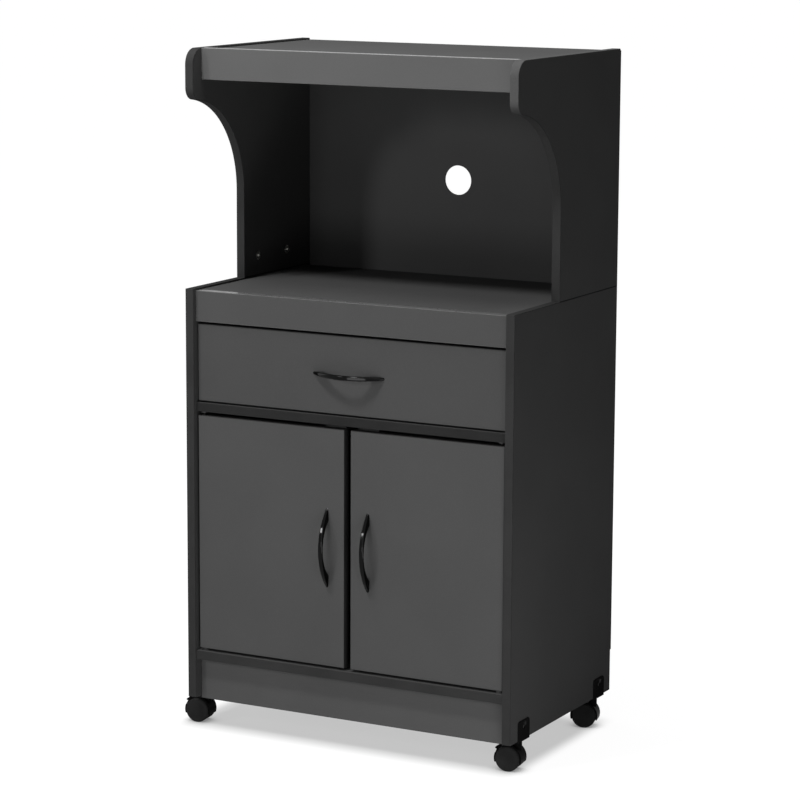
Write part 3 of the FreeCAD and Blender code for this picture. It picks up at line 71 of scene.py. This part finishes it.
class Nodes:
    """A node material in the making. Scales are in waves per metre."""

    def __init__(self, name):
        self.material = bpy.data.materials.new(name)
        self.material.use_nodes = True
        self.tree = self.material.node_tree
        self.shader = self.tree.nodes["Principled BSDF"]
        self.output = self.tree.nodes["Material Output"]
        self.place = self.add("ShaderNodeTexCoord").outputs["Object"]

    def add(self, kind, **settings):
        node = self.tree.nodes.new(kind)
        for key, value in settings.items():
            setattr(node, key, value)
        return node

    def feed(self, socket, value):
        if isinstance(value, bpy.types.NodeSocket):
            self.tree.links.new(value, socket)
        else:
            socket.default_value = value

    def finish(self, tone, roughness, normal=None, gloss=None, metallic=None):
        """Fills the shader in. Gloss and metallic are uniform, so they are set on it directly."""
        self.feed(self.shader.inputs["Base Color"], tone)
        self.feed(self.shader.inputs["Roughness"], roughness)
        if normal is not None:
            self.feed(self.shader.inputs["Normal"], normal)
        if gloss is not None:
            self.shader.inputs["Specular IOR Level"].default_value = gloss
        if metallic is not None:
            self.shader.inputs["Metallic"].default_value = metallic
        return self.material

    def apart(self, vector):
        split = self.add("ShaderNodeSeparateXYZ")
        self.feed(split.inputs[0], vector)
        return split.outputs

    def stretched(self, stretch):
        mapping = self.add("ShaderNodeMapping")
        self.feed(mapping.inputs["Vector"], self.place)
        mapping.inputs["Scale"].default_value = stretch
        return mapping.outputs["Vector"]

    def noise(self, scale, detail=2.0, roughness=0.5, stretch=None, distortion=0.0):
        noise = self.add("ShaderNodeTexNoise")
        self.feed(noise.inputs["Vector"], self.stretched(stretch) if stretch else self.place)
        noise.inputs["Scale"].default_value = scale
        noise.inputs["Detail"].default_value = detail
        noise.inputs["Roughness"].default_value = roughness
        noise.inputs["Distortion"].default_value = distortion
        return noise.outputs["Fac"]

    def cells(self, scale):
        cells = self.add("ShaderNodeTexVoronoi", feature="F1")
        self.feed(cells.inputs["Vector"], self.place)
        cells.inputs["Scale"].default_value = scale
        return cells.outputs["Distance"]

    def ramp(self, value, low, high, out_low=0.0, out_high=1.0):
        remap = self.add("ShaderNodeMapRange", interpolation_type="SMOOTHSTEP")
        self.feed(remap.inputs["Value"], value)
        limits = (("From Min", low), ("From Max", high), ("To Min", out_low), ("To Max", out_high))
        for key, amount in limits:
            remap.inputs[key].default_value = amount
        return remap.outputs["Result"]

    def spread(self, noise, out_low=0.0, out_high=1.0):
        """The middle of a noise's range, where most of it lies, drawn out over a range of its own."""
        return self.ramp(noise, 0.3, 0.7, out_low, out_high)

    def around(self, noise, middle, below, above):
        return self.spread(noise, middle - below, middle + above)

    def math(self, operation, a, b=0.0):
        node = self.add("ShaderNodeMath", operation=operation)
        self.feed(node.inputs[0], a)
        self.feed(node.inputs[1], b)
        return node.outputs[0]

    def mix(self, factor, a, b):
        node = self.add("ShaderNodeMix", data_type="RGBA")
        self.feed(node.inputs["Factor"], factor)
        for socket, colour in ((node.inputs[6], a), (node.inputs[7], b)):
            self.feed(socket, colour if isinstance(colour, bpy.types.NodeSocket) else (*colour, 1))
        return node.outputs[2]

    def bump(self, height, strength, depth, below=None):
        bump = self.add("ShaderNodeBump")
        bump.inputs["Strength"].default_value = strength
        bump.inputs["Distance"].default_value = depth
        self.feed(bump.inputs["Height"], height)
        if below:
            self.feed(bump.inputs["Normal"], below)
        return bump.outputs["Normal"]


def grey(level):
    return (level, level, level)


def shade(colour, factor):
    return tuple(channel * factor for channel in colour)


FINE_DEPTH = 0.0002
BOARD_ROUGHNESS = 0.58
JOINT_LINE_HALF = 0.0005
JOINT_LINE_FADE = 0.0013
JOINT_LINE_SHARE = 0.85
JOINT_LINE_TONE = 0.12
FLECK_SHARE, FLECK_TONE = 0.16, 1.5
SPECK_SHARE, SPECK_TONE = 0.35, 1.8
# The lighter tone of the painted highlight on the right hutch panel's nose tape.
NOSE_HIGHLIGHT_TONE = 2.5


def laminate(name, colour, joint_level=None):
    """Melamine faced board: a fine pebble, a faint cloud in the tone and a few rubbed places.

    A board that another one stands on or under has the dark line of that joint at joint_level.
    """
    n = Nodes(name)
    cloud = n.spread(n.noise(5.5, detail=3))
    fleck = n.ramp(n.noise(620, roughness=0.6), 0.42, 0.72)
    tone = n.mix(cloud, shade(colour, 0.965), shade(colour, 1.035))
    tone = n.mix(n.math("MULTIPLY", fleck, FLECK_SHARE), tone, shade(colour, FLECK_TONE))
    pebble = n.bump(n.noise(1500, roughness=0.55), 0.10, FINE_DEPTH)
    wave = n.bump(n.noise(14), 0.05, 0.002, below=pebble)
    rubbing = n.noise(9, detail=4, roughness=0.6, distortion=0.6)
    rub = n.ramp(rubbing, 0.35, 0.75, BOARD_ROUGHNESS - 0.06, BOARD_ROUGHNESS + 0.06)
    if joint_level is not None:
        off = n.math("ABSOLUTE", n.math("SUBTRACT", n.apart(n.place)["Z"], joint_level))
        line = n.ramp(off, JOINT_LINE_HALF, JOINT_LINE_FADE, JOINT_LINE_SHARE, 0.0)
        tone = n.mix(line, tone, shade(colour, JOINT_LINE_TONE))
    return n.finish(tone, rub, wave, gloss=0.0)


def banding(name, colour, roughness, gloss, highlight_above=None):
    """Plastic edge tape: smoother than the board's faces, with the faint lines of its trimming knife.

    Above the pair of levels given as its last argument, between which it fades in, it carries a painted
    highlight in patches.
    """
    n = Nodes(name)
    lines = n.noise(900, stretch=(1, 1, 0.03))
    speck = n.ramp(n.noise(310, detail=3, roughness=0.7), 0.60, 0.78)
    tone = n.mix(n.spread(n.noise(18, detail=3)), shade(colour, 0.93), shade(colour, 1.07))
    tone = n.mix(n.math("MULTIPLY", speck, SPECK_SHARE), tone, shade(colour, SPECK_TONE))
    # Painted highlight: patches of a lighter tone above the given levels.
    if highlight_above:
        highlight_patches = n.ramp(n.noise(420, detail=4, roughness=0.7), 0.35, 0.75, 0.75, 1.0)
        highlight_reach = n.ramp(n.apart(n.place)["Z"], *highlight_above)
        tone = n.mix(n.math("MULTIPLY", highlight_reach, highlight_patches), tone, shade(colour, NOSE_HIGHLIGHT_TONE))
    rub = n.around(n.noise(40, detail=3), roughness, 0.05, 0.05)
    return n.finish(tone, rub, n.bump(lines, 0.08, FINE_DEPTH), gloss)


def hardboard(name, colour):
    """Pressed fibre with a matt face."""
    n = Nodes(name)
    tone = n.mix(n.spread(n.noise(4, detail=3)), shade(colour, 0.95), shade(colour, 1.05))
    fibre = n.bump(n.noise(420, detail=4, roughness=0.6, stretch=(1, 1, 0.5)), 0.12, FINE_DEPTH)
    return n.finish(tone, n.spread(n.noise(25, detail=3), 0.6, 0.7), fibre, gloss=0.0)


def dark_chrome(name):
    """Black plated metal: a nearly black mirror with a slight haze."""
    n = Nodes(name)
    haze = n.ramp(n.noise(60, detail=3, roughness=0.6), 0.35, 0.75, 0.05, 0.10)
    ripple = n.bump(n.noise(90), 0.04, 0.0004)
    return n.finish(n.mix(n.noise(35), grey(0.007), grey(0.011)), haze, ripple, metallic=1.0)


def zinc(name):
    """Zinc plate, in small patches of lighter and darker metal."""
    n = Nodes(name)
    patch = n.ramp(n.cells(900), 0.0, 0.9)
    tone = n.mix(patch, (0.48, 0.48, 0.47), (0.66, 0.66, 0.63))
    return n.finish(tone, n.spread(n.noise(300, detail=3), 0.24, 0.4), metallic=1.0)


def painted(name, colour, roughness=0.38, gloss=0.5):
    """Paint baked on steel, with a slight orange peel."""
    n = Nodes(name)
    peel = n.bump(n.noise(260), 0.12, 0.0003)
    tone = n.mix(n.noise(40, detail=3), shade(colour, 0.9), shade(colour, 1.12))
    return n.finish(tone, n.around(n.noise(45, detail=3), roughness, 0.05, 0.06), peel, gloss)


def plastic(name, colour, roughness, gloss=0.5):
    """Moulded plastic with a fine grain."""
    n = Nodes(name)
    grain = n.bump(n.noise(1300, detail=3, roughness=0.6), 0.12, FINE_DEPTH)
    tone = n.mix(n.spread(n.noise(30, detail=3)), shade(colour, 0.88), shade(colour, 1.12))
    return n.finish(tone, n.around(n.noise(70, detail=3), roughness, 0.04, 0.06), grain, gloss)


def timber(name):
    """Plain beech, with its grain along X."""
    n = Nodes(name)
    grain = n.noise(60, detail=6, roughness=0.7, stretch=(0.2, 6, 6), distortion=0.4)
    tone = n.mix(n.spread(grain), (0.42, 0.28, 0.15), (0.6, 0.44, 0.26))
    return n.finish(tone, 0.6, n.bump(grain, 0.2, 0.0003))


CHARCOAL = grey(0.062)
MATERIALS = {
    "charcoal_laminate": laminate("charcoal_laminate", CHARCOAL),
    "back_board": hardboard("back_board", shade(CHARCOAL, 0.9)),
    "drawer_laminate": laminate("drawer_laminate", shade(CHARCOAL, 1.1)),
    "handle_metal": dark_chrome("handle_metal"),
    "zinc_steel": zinc("zinc_steel"),
    "dowel_wood": timber("dowel_wood"),
    "runner_steel": painted("runner_steel", (0.62, 0.62, 0.6)),
    "nylon": plastic("nylon", (0.66, 0.65, 0.6), 0.42),
    "catch_plastic": plastic("catch_plastic", grey(0.03), 0.45, gloss=0.2),
    "bracket_steel": painted("bracket_steel", grey(0.010), 0.4, 0.0),
    "caster_plastic": plastic("caster_plastic", grey(0.004), 0.25, gloss=0.004),
    "wheel_plastic": plastic("wheel_plastic", grey(0.017), 0.45, gloss=0.004),
}

# Painted light and shade: lighter copies of the slot's own laminate on the hutch fascia and toe board, a
# darker one on the drawer front.
# The side panels show a joint's line.
LIT_SHADED_AND_JOINTED_BOARDS = {
    "hutch_fascia": laminate("hutch_fascia_painted_light_laminate", shade(CHARCOAL, 1.36)),
    "toe_board": laminate("toe_board_painted_light_laminate", shade(CHARCOAL, 1.12)),
    "drawer_front": laminate("drawer_front_painted_shade_laminate", shade(CHARCOAL, 0.91)),
}
JOINT_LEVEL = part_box("left_side_panel")[1].z
for side in ("left_side_panel", "right_side_panel", "hutch_left_panel", "hutch_right_panel"):
    LIT_SHADED_AND_JOINTED_BOARDS[side] = laminate(side + "_laminate", CHARCOAL, joint_level=JOINT_LEVEL)

# Small steel pieces that are dark in place of their slot's material.
DARK_STEEL = painted("dark_steel", grey(0.012), 0.35, 0.02)
DARK_NODES = (
    "left_door_pins", "right_door_pins", "front_left_caster_axle", "front_right_caster_axle",
    "rear_left_caster_axle", "rear_right_caster_axle",
)

EDGE_TAPE = banding("edge_tape", shade(CHARCOAL, 0.48), 0.55, 0.0)
# Painted highlight: a lighter copy of the edge tape on the edge faces of the two fascias, for the bright
# line along their top arrises.
PAINTED_HIGHLIGHT_EDGE = banding("painted_highlight_edge", shade(CHARCOAL, 1.5), 0.3, 0.1)
# Levels above which the right hutch panel's nose tape carries a painted highlight.
NOSE_HIGHLIGHT_LEVELS = (1.045, 1.075)
TAPES = {
    "worktop_fascia": PAINTED_HIGHLIGHT_EDGE,
    "hutch_fascia": PAINTED_HIGHLIGHT_EDGE,
    # Painted shade: a darker copy of the edge tape on the drawer divider's front edge.
    "drawer_divider": banding("divider_shaded_tape", shade(CHARCOAL, 0.33), 0.55, 0.0),
    "hutch_right_panel": banding(
        "nose_highlight_tape", shade(CHARCOAL, 0.48), 0.5, 0.0, highlight_above=NOSE_HIGHLIGHT_LEVELS
    ),
}

# The boards, and the axis that each one's two wide faces look along.
BOARD_AXES = {
    "left_side_panel": 0, "right_side_panel": 0, "hutch_left_panel": 0, "hutch_right_panel": 0,
    "drawer_left_side": 0, "drawer_right_side": 0,
    "worktop_fascia": 1, "toe_board": 1, "hutch_fascia": 1, "drawer_front": 1, "drawer_back": 1,
    "left_door": 1, "right_door": 1,
    "worktop": 2, "drawer_divider": 2, "bottom_board": 2, "cupboard_shelf": 2, "hutch_top_board": 2,
}
SQUARE_ON = 0.999
SIDES_OUTER_FACE = 0.3


def dress_nodes():
    """Gives every CAD node its material, and the boards their edge tape."""
    slots = {row["node"]: row["material_slot"] for row in frame["record"]["subparts"]}
    for name, thing in frame["nodes"].items():
        mesh = thing.data
        own = DARK_STEEL if name in DARK_NODES else LIT_SHADED_AND_JOINTED_BOARDS.get(name, MATERIALS[slots[name]])
        mesh.materials.clear()
        mesh.materials.append(own)
        axis = BOARD_AXES.get(name)
        if axis is not None:
            mesh.materials.append(TAPES.get(name, EDGE_TAPE))
        for face in mesh.polygons:
            wide = axis is None or abs(face.normal[axis]) > SQUARE_ON
            face.material_index = 0 if wide else 1
    # The heads of the bracket screws, outside the side panels, are dark.
    screws = frame["nodes"]["cabinet_fasteners"].data
    screws.materials.append(DARK_STEEL)
    for face in screws.polygons:
        if abs(face.center.x) > SIDES_OUTER_FACE:
            face.material_index = 1


dress_nodes()


# --- floor, light and background -------------------------------------------------------------------

FLOOR_SIZE = 60
FLOOR_COLOUR = 0.62
FLOOR_CATCH = 0.12
# Painted shadow under the cart: the seen floor's glow drops to SHADE_GLOW over its footprint, fading out
# over these ranges.
SHADE_OFFSET = 0.012
SHADE_BESIDE = (0.290, 0.328)
SHADE_BEFORE = (0.140, 0.212)
SHADE_GLOW = 0.53
OPEN_GLOW = (0.95, 1.0)
OPEN_REACH = (0.6, 1.6)
# Painted contact shadow: ambient occlusion within this reach darkens the seen floor.
CONTACT_REACH = 0.03
CONTACT_DEEPEST = 0.3
CONTACT_CLEAR = 0.9
ROOM_STRENGTH = 0.02
WHITE_STRENGTH = 1


def seen_ray(tree):
    """1 for the rays that show the background: the camera's, and those by way of a gloss or a glass."""
    path = tree.nodes.new("ShaderNodeLightPath")
    total = path.outputs["Is Camera Ray"]
    for way in ("Is Glossy Ray", "Is Transmission Ray"):
        either = tree.nodes.new("ShaderNodeMath")
        either.operation = "MAXIMUM"
        tree.links.new(total, either.inputs[0])
        tree.links.new(path.outputs[way], either.inputs[1])
        total = either.outputs[0]
    return total


def floor_glow(n, contact_shade):
    """The light of the seen floor: nearly white, with a painted shadow under the cart and a painted
    contact shadow where a wheel stands.
    """
    shifted = n.add("ShaderNodeVectorMath", operation="ADD")
    n.feed(shifted.inputs[0], n.place)
    shifted.inputs[1].default_value = (SHADE_OFFSET, 0, 0)
    outward = n.add("ShaderNodeVectorMath", operation="ABSOLUTE")
    n.feed(outward.inputs[0], shifted.outputs["Vector"])
    apart = n.apart(outward.outputs["Vector"])
    beside = n.ramp(apart["X"], *SHADE_BESIDE, 1.0, 0.0)
    before = n.ramp(apart["Y"], *SHADE_BEFORE, 1.0, 0.0)
    distance = n.add("ShaderNodeVectorMath", operation="LENGTH")
    n.feed(distance.inputs[0], n.place)
    shaded = n.add("ShaderNodeMix", data_type="FLOAT")
    n.feed(shaded.inputs["Factor"], n.math("MULTIPLY", beside, before))
    n.feed(shaded.inputs["A"], n.ramp(distance.outputs["Value"], *OPEN_REACH, *OPEN_GLOW))
    shaded.inputs["B"].default_value = SHADE_GLOW
    glow = n.add("ShaderNodeEmission")
    glow.inputs["Color"].default_value = (1, 1, 1, 1)
    n.feed(glow.inputs["Strength"], n.math("MULTIPLY", contact_shade, shaded.outputs[0]))
    return glow.outputs[0]


def make_floor():
    bpy.ops.mesh.primitive_plane_add(size=FLOOR_SIZE, location=(0, 0, 0))
    floor = bpy.context.object
    floor.name = "floor"
    n = Nodes("floor")
    n.tree.nodes.remove(n.shader)
    diffuse = n.add("ShaderNodeBsdfDiffuse")
    diffuse.inputs["Color"].default_value = (*grey(FLOOR_COLOUR), 1)
    # Painted contact shadow where a wheel stands: ambient occlusion darkens the seen floor's colour and
    # glow.
    nearness = n.add("ShaderNodeAmbientOcclusion", samples=8)
    nearness.inputs["Distance"].default_value = CONTACT_REACH
    contact_shade = n.ramp(nearness.outputs["AO"], 0.0, CONTACT_CLEAR, CONTACT_DEEPEST, 1.0)
    seen = n.add("ShaderNodeBsdfDiffuse")
    n.feed(seen.inputs["Color"], n.mix(contact_shade, grey(0.0), grey(FLOOR_CATCH)))
    both = n.add("ShaderNodeAddShader")
    n.feed(both.inputs[0], seen.outputs[0])
    n.feed(both.inputs[1], floor_glow(n, contact_shade))
    mix = n.add("ShaderNodeMixShader")
    n.feed(mix.inputs[0], seen_ray(n.tree))
    n.feed(mix.inputs[1], diffuse.outputs[0])
    n.feed(mix.inputs[2], both.outputs[0])
    n.feed(n.output.inputs["Surface"], mix.outputs[0])
    floor.data.materials.append(n.material)


def make_world():
    """A dim room for the light, and white for the rays that show the background."""
    world = bpy.data.worlds.new("studio")
    bpy.context.scene.world = world
    world.use_nodes = True
    tree = world.node_tree
    tree.nodes.clear()
    mix = tree.nodes.new("ShaderNodeMixShader")
    tree.links.new(seen_ray(tree), mix.inputs[0])
    for socket, strength in ((mix.inputs[1], ROOM_STRENGTH), (mix.inputs[2], WHITE_STRENGTH)):
        background = tree.nodes.new("ShaderNodeBackground")
        background.inputs["Color"].default_value = (1, 1, 1, 1)
        background.inputs["Strength"].default_value = strength
        tree.links.new(background.outputs[0], socket)
    out = tree.nodes.new("ShaderNodeOutputWorld")
    tree.links.new(mix.outputs[0], out.inputs["Surface"])


# Each lamp's name, place, target, width and height in metres, and power in watts.
LAMPS = (
    ("key", (-0.4, -1.2, 2.6), (0, -0.15, 0.7), (0.4, 0.3), 39),
    ("left_front", (-2.0, -3.2, 1.7), (0, 0, 0.5), (0.5, 0.5), 37),
    ("front", (0, -4.5, 1.2), (0, 0, 0.5), (2, 2), 22),
    ("low", (0, -2.6, 0.3), (0, 0, 0.5), (1.5, 0.4), 11),
    ("left", (-3, -0.5, 1.5), (0, 0, 0.5), (1.5, 1.5), 18),
    ("low_right", (0.95, -0.8, 0.12), (0.3, -0.1, 0.2), (0.4, 0.2), 2.4),
    ("right", (2.2, -2.6, 0.4), (0, 0, 0.4), (1.2, 0.6), 3),
    ("top", (0, 0, 3.2), (0, 0, 0), (2, 2), 58),
)


def area_light(name, place, target, size, power):
    data = bpy.data.lights.new(name, "AREA")
    data.shape = "RECTANGLE"
    data.size, data.size_y = size
    data.energy = power
    lamp = bpy.data.objects.new(name, data)
    lamp.location = place
    lamp.rotation_mode = "QUATERNION"
    lamp.rotation_quaternion = (Vector(target) - Vector(place)).to_track_quat("-Z", "Y")
    bpy.context.scene.collection.objects.link(lamp)


make_floor()
make_world()
for lamp in LAMPS:
    area_light(*lamp)

bpy.context.scene.view_settings.view_transform = "Standard"
